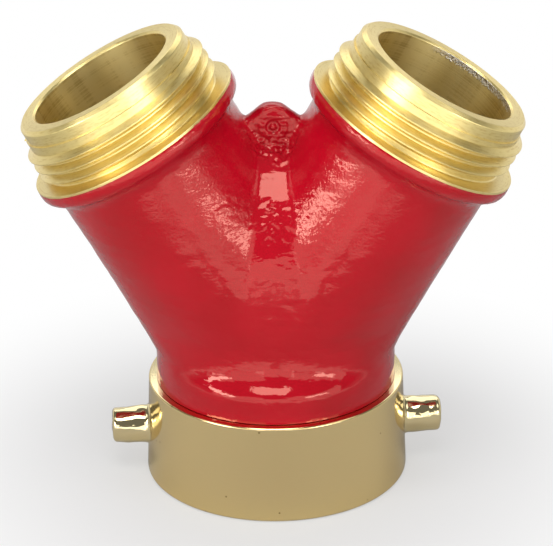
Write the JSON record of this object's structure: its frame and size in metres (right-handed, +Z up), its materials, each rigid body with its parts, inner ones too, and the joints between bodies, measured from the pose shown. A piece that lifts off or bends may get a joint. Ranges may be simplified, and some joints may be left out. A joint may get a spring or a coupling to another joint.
{
  "type": "fire hose wye",
  "caption": "Plain Y-shaped hose fitting: a swivelling threaded inlet ring with pin lugs feeds a cast body that splits into threaded outlets.",
  "frame": {"origin": "centre of the swivel ring's bottom face, on the inlet axis", "axes": "+Z up the inlet axis, +X towards one outlet, -Y towards the front"},
  "size_m": [0.1236, 0.066, 0.1163],
  "materials": {
    "red_enamel": "gloss enamel over cast brass",
    "polished_brass": "polished",
    "turned_brass": "turned",
    "stainless_steel": "polished",
    "black_rubber": "matt"
  },
  "bodies": {
    "body": {"wye_body": "red_enamel"},
    "swivel": {"swivel_ring": "polished_brass", "race_plug": "turned_brass", "inlet_gasket": "black_rubber"},
    "balls": {"race_balls": "stainless_steel"}
  },
  "joints": [
    {"name": "swivel_turn", "type": "hinge", "parent": "body", "child": "swivel", "pos_m": [0, 0, 0.0206], "axis": [0, 0, 1], "continuous": true},
    {"name": "ball_orbit", "type": "hinge", "parent": "body", "child": "balls", "pos_m": [0, 0, 0.0206], "axis": [0, 0, 1], "continuous": true}
  ],
  "couplings": [
    {"joint": "ball_orbit", "follows": "swivel_turn", "ratio": 0.545}
  ]
}
